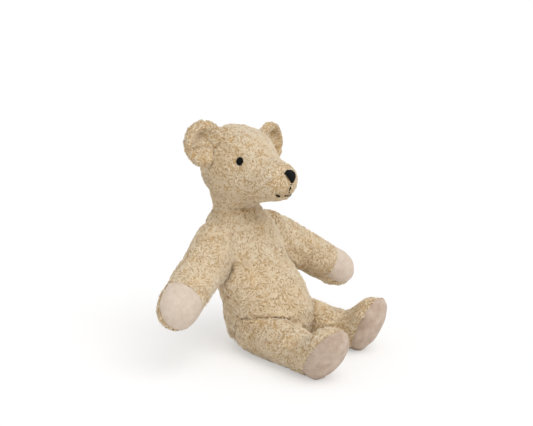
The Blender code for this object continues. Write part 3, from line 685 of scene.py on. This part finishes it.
def sculpt(name):
    """Lumps, wrinkles and creases of a skin, its own forms, and its closing on the next body."""
    mesh, nap = skins[name], nap_of(name)
    points, facing = places(mesh), normals(mesh)
    seed = sum(map(ord, name))
    soft = ramp(*SOFT_ROOM, rooms[name])
    if name in seams:
        soft *= 1 - 0.85 * ramp(-0.003, 0.0, in_front(points, seams[name]))
    depth = nap.press * ramp(*PRESS_ROOM, rooms[name])
    depth -= soft * sum(high * noise(points, wide, seed + k) for k, (high, wide) in enumerate(LUMPS))
    creases = np.empty((0, 3))
    if name == "torso":
        creases = sculpt_torso(points, depth)
    elif name == "head":
        sculpt_head(points, depth)
    elif name.endswith("ear"):
        creases = sculpt_ear(name.split("_")[0], points, depth)
    elif name.endswith("leg"):
        sculpt_leg(name, points, facing, depth)
    axis = limb_axis(name)
    folds = tree_of(partings(points, facing, int(len(points) / FOLD_POINTS), 2 * axis, rng))
    depth += FOLD_DEPTH * soft * bell(distances(points, folds), FOLD_WIDTH)
    lines = partings(points, facing, int(len(points) / nap.points), axis, rng)
    parting[name] = tree_of(np.vstack((lines, creases)))
    depth += GROOVE_DEPTH * soft * bell(distances(points, parting[name]), GROOVE_WIDTH)
    fresh = points - facing * depth[:, None] + meeting(name)
    height, free = points[:, 2], ramp(*SEAT, points[:, 2])
    fresh[:, 2] = np.where(height < 0.0045, free * fresh[:, 2] + (1 - free) * height, fresh[:, 2])
    fresh[:, 2] = np.maximum(fresh[:, 2], LOWEST_CLOTH)
    moved(mesh, fresh)


for name in skins:
    sculpt(name)


# The torso's skin sinks round each stem, so that the joint kit turns freely in it
torso_points = places(skins["torso"])
for joint in joints_at("torso"):
    place, axis = np.array(joint["pos_m"]), unit(np.array(joint["axis"]))
    limb_middle = places(skins[joint["child"]]).mean(axis=0)
    if (limb_middle - place) @ axis > 0:
        axis = -axis
    off = torso_points - place
    along = off @ axis
    radius = np.linalg.norm(off - along[:, None] * axis, axis=1)
    inside = (radius < STEM_WELL) & (np.abs(along) < STEM_REACH)
    torso_points[inside] += WELL_DEPTH * axis
moved(skins["torso"], torso_points)


# Pads: a velour patch bedded in each limb's plush


def split_at(mesh, planes):
    """Adds edges along some planes, and says for each point how far in front of all of them it is."""
    work = bmesh.new()
    work.from_mesh(mesh)
    for place, normal in planes:
        bmesh.ops.bisect_plane(work, geom=[*work.verts, *work.edges, *work.faces], dist=WELD,
                               plane_co=place, plane_no=normal)
    work.to_mesh(mesh)
    work.free()
    mesh.update()
    return in_front(places(mesh), planes)


def make_pad(name, mesh, ahead_by):
    """The velour patch in front of the seam: a closed pad with a tucked and puckered rim."""
    points, facing = places(mesh), normals(mesh)
    rim = bell(distances(points, tree_of(points[np.abs(ahead_by) < ON_SEAM])), PAD_RIM)
    pucker = 0.0003 * noise(points, 0.0042, 7) * np.sqrt(rim) + 0.0002 * noise(points, 0.011, 9)
    raised = points + facing * (PAD_LEVEL - PAD_TUCK * rim + pucker)[:, None]
    raised[:, 2] = np.maximum(raised[:, 2], LOWEST_CLOTH)
    under = points + facing * (PAD_LEVEL - PAD_TUCK * rim - PAD_THICKNESS)[:, None]
    under[:, 2] = np.maximum(under[:, 2], LOWEST_BACK)
    patch = bmesh.new()
    tops, bottoms, edge_uses = {}, {}, {}
    for polygon in mesh.polygons:
        corners = list(polygon.vertices)
        if min(ahead_by[corners]) < -ON_SEAM:
            continue
        for corner in corners:
            if corner not in tops:
                tops[corner] = patch.verts.new(raised[corner])
                bottoms[corner] = patch.verts.new(under[corner])
        patch.faces.new([tops[corner] for corner in corners])
        patch.faces.new([bottoms[corner] for corner in reversed(corners)])
        for start, end in zip(corners, corners[1:] + corners[:1]):
            edge_uses.setdefault(frozenset((start, end)), []).append((start, end))
    for uses in edge_uses.values():
        if len(uses) == 1:
            start, end = uses[0]
            patch.faces.new((tops[end], tops[start], bottoms[start], bottoms[end]))
    made = bpy.data.meshes.new(name)
    patch.to_mesh(made)
    patch.free()
    made.shade_smooth()
    return made


bare = {}  # how far each point of a limb's skin is in front of its pad's seams
for side, limb in itertools.product(SIDES, LIMBS):
    name, pad_node = f"{side}_{limb}", limb_nodes(side, limb)[1]
    mesh = skins[name]
    before = tree_of(places(mesh))
    ahead_by = split_at(mesh, seams[name])
    fresh = places(mesh)
    nearest = [before.find(point)[1] for point in fresh]
    rooms[name], ways[name] = rooms[name][nearest], ways[name][nearest]
    # soles take the velour darkened with painted shade
    cloth = PAW_VELOUR if limb == "arm" else SOLE_VELOUR_PAINTED_SHADE
    pad = piece(pad_node + "_velour", make_pad(pad_node, mesh, ahead_by), name, cloth, pad_node)
    sunk = PAD_BED * ramp(-0.0012, 0.0012, ahead_by)
    fresh = fresh - normals(mesh) * sunk[:, None]
    fresh[:, 2] = np.maximum(fresh[:, 2], LOWEST_CLOTH)
    moved(mesh, fresh)
    bare[name] = ahead_by


# Pile


def number(mesh, name, values):
    mesh.attributes.new(name, "FLOAT", "POINT").data.foreach_set("value", values.astype(np.float32))


def scattered(mesh, density, rng):
    """Random spots on a mesh: for each the three points of a triangle, and their shares in it."""
    mesh.calc_loop_triangles()
    corners = np.empty(len(mesh.loop_triangles) * 3, np.int32)
    mesh.loop_triangles.foreach_get("vertices", corners)
    corners = corners.reshape(-1, 3)
    points = places(mesh)[corners]
    sides = points[:, 1:] - points[:, :1]
    area = np.linalg.norm(np.cross(sides[:, 0], sides[:, 1]), axis=1) / 2
    summed = np.cumsum(area * density[corners].mean(axis=1))
    count = int(summed[-1])
    picked = np.searchsorted(summed, (np.arange(count) + rng.random(count)) * summed[-1] / count)
    first, second = np.sqrt(rng.random(count)), rng.random(count)
    shares = np.stack((1 - first, first * (1 - second), first * second), axis=1)
    return corners[np.minimum(picked, len(corners) - 1)], shares


class Tuft:
    """One kind of tuft: its faces, its points' heights from root to tip (darker roots as painted shade), and
    a flat map of its faces.
    """

    def __init__(self, faces, heights, spots):
        self.faces, self.heights = faces, np.array(heights)
        self.spots = np.array([spot for face in spots for spot in face]) / (3, 2) * 0.9 + 0.05

    def shading(self, points, facing):
        """The points' facings at the corners of the faces, turned back where they leave a face's own side."""
        corners = []
        for face in self.faces:
            first, second, third = (points[:, point] for point in face[:3])
            own = unit(np.cross(second - first, third - first))
            for point in face:
                kept = unit(facing[:, point])
                short = np.maximum(0, LEAST_FACING - np.sum(kept * own, axis=1, keepdims=True))
                corners.append(kept + short * own)
        return np.stack(corners, axis=1)


FOOT_SPOTS = ((0.62, 2), (0.88, 2), (0.75, 1.6))
CURL = Tuft(
    ((0, 1, 4, 3), (1, 2, 5, 4), (2, 0, 3, 5), (3, 4, 6), (4, 5, 6), (5, 3, 6), (2, 1, 0)),
    (0.25, 0.25, 0.4, 0.7, 0.7, 0.85, 1.0),
    [((k, 0), (k + 1, 0), (k + 1, 1), (k, 1)) for k in range(3)]
    + [((k, 1), (k + 1, 1), (k + 0.5, 2)) for k in range(3)] + [FOOT_SPOTS])
SPIKE = Tuft(
    ((0, 1, 3), (1, 2, 3), (2, 0, 3), (2, 1, 0)), (0.3, 0.3, 0.3, 0.75),
    [((k, 0), (k + 1, 0), (k + 0.5, 2)) for k in range(3)] + [FOOT_SPOTS])


class Growth:
    """Random spots on a skin, with what the tufts there need to know."""

    def __init__(self, mesh, density, length, pull, painted_light_tone, lines, seed):
        self.rng = np.random.default_rng(seed)
        corners, shares = scattered(mesh, density, self.rng)

        def spread(values):
            return np.einsum("ij,ij...->i...", shares, values[corners])

        self.count = len(corners)
        self.root, self.normal = spread(places(mesh)), unit(spread(normals(mesh)))
        nearest = [lines.find(point) for point in self.root]
        off = self.root - np.array([hit[0] for hit in nearest])
        far = np.array([hit[2] for hit in nearest])
        # deep: how far into a parting a tuft is; locks there are shorter and take painted shade
        self.deep, beside = bell(far, PARTING_WIDTH), bell(far, 2.5 * PARTING_WIDTH)
        flow = self.swirl(0.010, seed) + 0.55 * self.swirl(0.0045, seed + 9)
        flow = flow - HANG * UP + STRAY * self.rng.normal(size=(self.count, 3)) + spread(pull)
        flow += PARTED * beside[:, None] * unit(off)
        self.heading = unit(flow - self.normal * np.sum(flow * self.normal, axis=1, keepdims=True))
        self.aside = np.cross(self.normal, self.heading)
        # painted light in the tone: painted shade and painted highlight spread from the skin
        self.painted_light_tone = spread(painted_light_tone)
        shorter = 1 - 0.3 * beside - 0.25 * self.deep
        self.size = (spread(length) * shorter * self.rng.uniform(0.75, 1.2, self.count))[:, None]

    def swirl(self, wavelength, seed):
        return np.stack([noise(self.root, wavelength, seed + part) for part in range(3)], axis=1)

    def vary(self, low, high):
        return self.rng.uniform(low, high, (self.count, 1))

    def tones(self):
        """0 is pale and 1 is warm: random clumps, plus painted shade and painted highlight."""
        clumps = 0.18 * noise(self.root, 0.005, 3) + 0.36 * noise(self.root, 0.019, 5)
        return np.clip(0.40 + self.painted_light_tone + clumps + self.rng.normal(0, 0.21, self.count), 0, 1)


def curls(growth):
    """Points and facings of locks that rise, bend and turn aside: three-sided tapered prisms."""
    far, wide = LOCK_LENGTH * growth.size, LOCK_WIDTH * growth.size ** SLIMMING
    rise = LOCK_RISE * growth.size * growth.vary(0.7, 1.2)
    curl = LOCK_CURL * growth.vary(-1, 1)
    root, normal, heading, aside = growth.root, growth.normal, growth.heading, growth.aside
    points, facing = np.empty((growth.count, 7, 3)), np.empty((growth.count, 7, 3))
    bend = root + 0.42 * far * heading + rise * normal
    for start, middle_of, share in ((0, root - 0.0004 * normal, 0.9), (3, bend, 1.0)):
        for corner, (side, lift) in enumerate(((-0.5, 0), (0.5, 0), (0, 0.35))):
            points[:, start + corner] = middle_of + share * wide * (side * aside + lift * normal)
            facing[:, start + corner] = normal + 2 * side * LOCK_ROUND * aside
    points[:, 6] = root + 0.9 * far * heading + curl * far * aside + 0.4 * rise * normal
    facing[:, 6] = normal + LOCK_ROUND * heading
    return points, facing


def spikes(growth):
    """Points and facings of the short plain tufts between the locks."""
    wide = SPIKE_WIDTH * growth.size ** SLIMMING
    far = SPIKE_LENGTH * growth.size * growth.vary(0.7, 1.3)
    points, facing = np.empty((growth.count, 4, 3)), np.empty((growth.count, 4, 3))
    for corner, turn in enumerate((0, 2.1, 4.2)):
        out = math.cos(turn) * growth.heading + math.sin(turn) * growth.aside
        points[:, corner] = growth.root + 0.5 * wide * out - 0.0003 * growth.normal
        facing[:, corner] = growth.normal + 0.5 * LOCK_ROUND * out
    points[:, 3] = growth.root + far * growth.heading + SPIKE_RISE * growth.size * growth.normal
    facing[:, 3] = growth.normal + LOCK_ROUND * growth.heading
    return points, facing


def pile(name, mesh, length, density, pull, painted_light_tone, lines, seed):
    """The pile over a skin: locks, and spikes between them.

    pull leans the tufts of a spot its way, and along lines they are short and darkened as painted shade.
    """
    layers = []
    for kind, shape, each, seed_of in ((CURL, curls, LOCKS, seed), (SPIKE, spikes, SPIKES, seed + 500)):
        growth = Growth(mesh, density * each, length, pull, painted_light_tone, lines, seed_of)
        layers.append((kind, growth, *shape(growth)))
    cells = math.ceil(math.sqrt(sum(growth.count for _, growth, _, _ in layers)))
    points, facing, faces, heights, tones, spots = ([] for _ in range(6))
    used = laid = 0
    for kind, growth, its_points, its_facing in layers:
        each, numbers = its_points.shape[1], np.arange(growth.count)
        for tuft in range(growth.count):
            faces += [[used + each * tuft + k for k in face] for face in kind.faces]
        points.append(its_points.reshape(-1, 3))
        facing.append(kind.shading(its_points, its_facing).reshape(-1, 3))
        # Locks in a parting are pulled towards their roots' colour: painted shade
        heights.append((kind.heights * (1 - PARTING_PAINTED_SHADE * growth.deep[:, None])).ravel())
        tones.append(np.repeat(growth.tones(), each))
        cell = np.stack(((laid + numbers) % cells, (laid + numbers) // cells), axis=1)
        spots.append(((cell[:, None, :] + kind.spots[None, :, :]) / cells).reshape(-1, 2))
        used, laid = used + each * growth.count, laid + growth.count
    points = np.vstack(points)
    points[:, 2] = np.maximum(points[:, 2], LOWEST_PILE)
    made = bpy.data.meshes.new(name)
    made.from_pydata(points, [], faces)
    number(made, "pile_height_painted_shade", np.concatenate(heights))
    number(made, "pile_tone", np.concatenate(tones))
    flat_map = made.uv_layers.new(name="OFBake")
    flat_map.data.foreach_set("uv", np.vstack(spots).astype(np.float32).ravel())
    made.shade_smooth()
    made.normals_split_custom_set(unit(np.vstack(facing)))
    return made


SEEDS = {name: 100 + 31 * index for index, name in enumerate(skins)}


def painted_light_tone_of(name, points, facing):
    """Painted light in the pile: painted shade low on the bear and in and beside the ears, a painted
    highlight on the head's top and front.
    """
    # painted shade: warmer and darker low on the bear, paler higher up
    painted_light_tone = 0.06 - 0.12 * ramp(0.04, 0.17, points[:, 2])
    if name.endswith("ear"):
        # painted shade in the ear's fold
        fold_end = in_ear(name.split("_")[0], *FOLD_END)
        painted_light_tone += 0.6 * bell(np.linalg.norm(points - fold_end, axis=1), 0.007)
    if name == "head":
        # painted highlight: paler where the head faces up and forward
        painted_light_tone -= 0.35 * ramp(0.3, 0.9, facing @ unit(head_up + 0.5 * ahead))
        # painted shade: warmer and darker on the head beside the ears
        for side in SIDES:
            painted_light_tone += 0.30 * bell(np.linalg.norm(points - middle(f"{side}_ear"), axis=1), 0.034)
    return painted_light_tone


def clear_stitches(points, density):
    """Takes the pile away under the eyes and the nose."""
    for node in ("left_eye", "right_eye", "nose"):
        low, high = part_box(node)
        half = (np.array(high) - np.array(low)) / 2
        off = (points - middle(node)) / np.maximum(half, 0.003)
        reach = np.hypot(off @ lateral, off @ head_up)
        density *= ramp(0.75, 1.0, reach + 3.0 * (np.abs(off @ ahead) > 4))


def dress(name):
    """Makes a skin the plush backing and lays its pile."""
    mesh, body = skins[name], body_of(name)
    points, facing = places(mesh), normals(mesh)
    room = rooms[name]
    length = np.minimum(nap_of(name).scale, (0.0010 + room) / LOCK_LENGTH)
    pull = 1.3 * (1 - ramp(*LEAN_ROOM, room))[:, None] * ways[name]
    density = ramp(0.0010, 0.0016, room)  # none on a joint's own faces
    density *= 1 - ramp(0.5, 0.9, -facing[:, 2]) * (points[:, 2] < 0.0015)  # nor on what rests on the floor
    inward = np.sum(facing * ways[name], axis=1)
    density *= 1 - ramp(0.6, 0.85, inward) * (1 - ramp(0.003, 0.006, room))  # none between close covers
    pressed = 1 - density  # flat nap where a joint's faces rub: no painted shade of deep pile there, so as pale as the pile beside it
    if name in bare:
        density *= 1 - ramp(-0.0003, 0.0006, bare[name])
    if name == "head":
        muzzle = ramp(0.0, 0.020, (points - middle("nose")) @ ahead + 0.026)
        length *= 1 - 0.30 * muzzle
        clear_stitches(points, density)
    nodes = [name] if name.endswith("ear") else [f"{name}_cover", f"{name}_stuffing"]
    mesh.shade_smooth()
    backing = piece(name + "_plush", mesh, body, PLUSH, *nodes)
    # The backing has the colour of deep pile, painted shade that shows between the locks; pressed nap is
    # paler
    number(mesh, "pile_height_painted_shade", 0.26 + pressed * (0.26 + 0.16 * noise(points, 0.0025, 7)))
    number(mesh, "pile_tone", np.clip(0.5 + 0.5 * noise(points, 0.004, 3), 0, 1))
    painted_light_tone = painted_light_tone_of(name, points, facing)
    laid = pile(name + "_pile", mesh, length, density, pull, painted_light_tone, parting[name], SEEDS[name])
    locks = piece(name + "_pile", laid, body, PLUSH)


for name in skins:
    dress(name)


# Face


class Threads:
    """Round threads laid side by side, gathered in one mesh."""

    def __init__(self):
        self.points, self.faces = [], []

    def lay(self, route, radius, facing, sides=6):
        """Adds a thread along a route, thinner at its ends. facing is roughly across it."""
        route = np.asarray(route, float)
        along = unit(np.gradient(route, axis=0))
        across = unit(np.cross(along, facing))
        outward = np.cross(across, along)
        start, turns = len(self.points), np.arange(sides) * 2 * math.pi / sides
        for step, place in enumerate(route):
            share = step / (len(route) - 1)
            thick = radius * (0.45 + 0.55 * min(1, 6 * min(share, 1 - share)))
            for turn in turns:
                out = math.cos(turn) * across[step] + math.sin(turn) * outward[step]
                self.points.append(place + thick * out)
        for step, turn in itertools.product(range(len(route) - 1), range(sides)):
            first, second = start + step * sides + turn, start + step * sides + (turn + 1) % sides
            self.faces.append((first, second, second + sides, first + sides))
        last = start + (len(route) - 1) * sides
        self.faces.append(tuple(range(start + sides - 1, start - 1, -1)))
        self.faces.append(tuple(range(last, last + sides)))

    def mesh(self, name):
        made = bpy.data.meshes.new(name)
        made.from_pydata(self.points, [], self.faces)
        made.shade_smooth()
        return made


head_skin = tree_of_skin(skins["head"])


def on_head(place, facing):
    """Where a line through a place along a direction meets the front of the head's skin."""
    hit = head_skin.ray_cast(Vector(place + 0.03 * facing), Vector(-facing))[0]
    return np.array(hit) if hit is not None else place


def head_facing(node):
    spot = head_skin.find_nearest(Vector(middle(node)))
    return unit(np.array(spot[1]) + 1e-9)


def satin(node, facing, outline, spacing, radius, lift, crown, size=1.0):
    """A patch of satin stitch: upright threads side by side. outline gives a column's lowest and highest."""
    across = unit(np.cross(head_up, facing))
    upright = np.cross(facing, across)
    points = node_points(node) - middle(node)
    wide, high = size * np.abs(points @ across).max(), size * np.abs(points @ upright).max()
    threads = Threads()
    columns = int(2 * wide / spacing)
    for column in range(columns + 1):
        x = -1 + 2 * column / columns
        low, top = outline(0.985 * x)
        route = []
        for y in np.linspace(low, top, 9):
            spot = on_head(middle(node) + wide * x * across + high * y * upright, facing)
            inside = (y - low) * (top - y) / max((top - low) / 2, 1e-6) ** 2
            dome = max(0.0, 1 - x * x) * (0.35 + 0.65 * max(0.0, 1 - y * y))
            route.append(spot + facing * (lift * (0.3 + 0.7 * min(1, 3 * inside)) + crown * dome))
        jitter = 0.00012 * math.sin(12.9 * column)
        threads.lay(np.array(route) + jitter * upright, radius, facing)
    return threads


def oval(x):
    reach = math.sqrt(max(0.02, 1 - x * x))
    return -reach, reach


def nose_outline(x):
    side = abs(x)
    return -1 + 1.30 * side ** 1.6, 0.98 - 0.45 * side ** 3


def stitched(name, node, threads):
    made = piece(name, threads.mesh(name), "head", THREAD, node)


def stretch(route, start, end):
    """Five places along a route, between two shares of it."""
    return np.array([route[int(round(share * (len(route) - 1)))] for share in np.linspace(start, end, 5)])


for side in SIDES:
    node = f"{side}_eye"
    eye = satin(node, head_facing(node), oval, spacing=0.00058, radius=0.00042,
                lift=0.0006, crown=0.0013, size=1.12)
    stitched(node + "_satin", node, eye)
nose = satin("nose", ahead, nose_outline, spacing=0.00066, radius=0.00050, lift=0.0009, crown=0.0018)
stitched("nose_satin", "nose", nose)

running, lip_route = Threads(), between(lip, 6)
ARCH = (0.0, 0.0006, 0.0008, 0.0006, 0.0)  # rise of a running stitch off the cloth
for start, end in ((0.02, 0.28), (0.40, 0.62), (0.74, 0.96)):
    spots = zip(stretch(lip_route, start, end), ARCH)
    stitch = [on_head(spot, ahead) + ahead * (0.0004 + rise) for spot, rise in spots]
    running.lay(stitch, 0.00065, lateral)
stitched("lip_running_stitch", "lip_stitch", running)

for side in SIDES:
    route, mouth = between(smiles[side], 5), Threads()
    facing = unit(ahead + 0.35 * outer_ways[side])
    spots = np.array([on_head(spot, facing) for spot in route])
    for start, end, radius in ((0.0, 0.16, 0.0007), (0.58, 1.0, 0.0011)):
        mouth.lay(stretch(spots, start, end) + 0.0006 * facing, radius, head_up)
    stitched(f"{side}_smile_thread", f"{side}_smile_stitch", mouth)


# The joint kit keeps its CAD shapes
for node, shape in frame["nodes"].items():
    if node.endswith(("disc", "washer")):
        shape.data.materials.clear()
        shape.data.materials.append(PLASTIC)


# Studio


def seen(tree):
    """1 for the rays that show a background: straight from the camera, or off something glossy or clear."""
    path, total = tree.nodes.new("ShaderNodeLightPath"), None
    for ray in ("Is Camera Ray", "Is Glossy Ray", "Is Transmission Ray"):
        if total is None:
            total = path.outputs[ray]
            continue
        most = tree.nodes.new("ShaderNodeMath")
        most.operation = "MAXIMUM"
        tree.links.new(total, most.inputs[0])
        tree.links.new(path.outputs[ray], most.inputs[1])
        total = most.outputs[0]
    return total


def floor_material():
    """A white floor. What the camera sees of it is part glow, so that it is white and keeps a soft shadow."""
    shader = Shader("studio_floor", Roughness=1.0, Specular_IOR_Level=0.0)
    greys = [(0.0, (0.90, 0.90, 0.90)), (1.0, (0.91, 0.91, 0.91))]
    shader.finish(shader.colours(shader.noise(1.5), greys))
    matt, glow = shader.node("BsdfDiffuse"), shader.node("Emission")
    matt.inputs["Color"].default_value = (0.62, 0.62, 0.62, 1)
    glow.inputs["Strength"].default_value = 0.40
    both, choice = shader.node("AddShader"), shader.node("MixShader")
    shader.link(matt.outputs[0], both.inputs[0])
    shader.link(glow.outputs[0], both.inputs[1])
    shader.link(seen(shader.tree), choice.inputs[0])
    shader.link(shader.surface.outputs[0], choice.inputs[1])
    shader.link(both.outputs[0], choice.inputs[2])
    shader.link(choice.outputs[0], shader.tree.nodes["Material Output"].inputs["Surface"])
    return shader.material


ground = bpy.data.meshes.new("studio_floor")
ground.from_pydata([(-12, -12, 0), (12, -12, 0), (12, 12, 0), (-12, 12, 0)], [], [(0, 1, 2, 3)])
ground.materials.append(floor_material())
floor = placed("studio_floor", ground)

world = bpy.data.worlds.new("studio")
world.use_nodes = True
sky = world.node_tree
dome = sky.nodes["Background"]
dome.inputs["Color"].default_value = (1, 1, 1, 1)
dome.inputs["Strength"].default_value = 0.72
white = sky.nodes.new("ShaderNodeBackground")
white.inputs["Color"].default_value = (1, 1, 1, 1)
choice = sky.nodes.new("ShaderNodeMixShader")
sky.links.new(seen(sky), choice.inputs[0])
sky.links.new(dome.outputs[0], choice.inputs[1])
sky.links.new(white.outputs[0], choice.inputs[2])
sky.links.new(choice.outputs[0], sky.nodes["World Output"].inputs["Surface"])
bpy.context.scene.world = world

lamp = bpy.data.lights.new("softbox", "SUN")
lamp.energy, lamp.angle = 1.15, math.radians(55)
softbox = placed("softbox", lamp)
softbox.rotation_euler = Vector((-0.05, -0.55, 0.83)).to_track_quat("Z", "Y").to_euler()

FOCAL, PHOTO_WIDTH, SENSOR = 945, 533, 36  # pixels, pixels and millimetres
lens = bpy.data.cameras.new("camera")
lens.sensor_width, lens.lens = SENSOR, FOCAL * SENSOR / PHOTO_WIDTH
camera = placed("camera", lens)
camera.location = (-0.75471, -0.65606, 0.355)
camera.rotation_euler = (math.radians(78.2283), 0, math.radians(-49.1594))
bpy.context.scene.camera = camera
bpy.context.scene.view_settings.view_transform = "Standard"
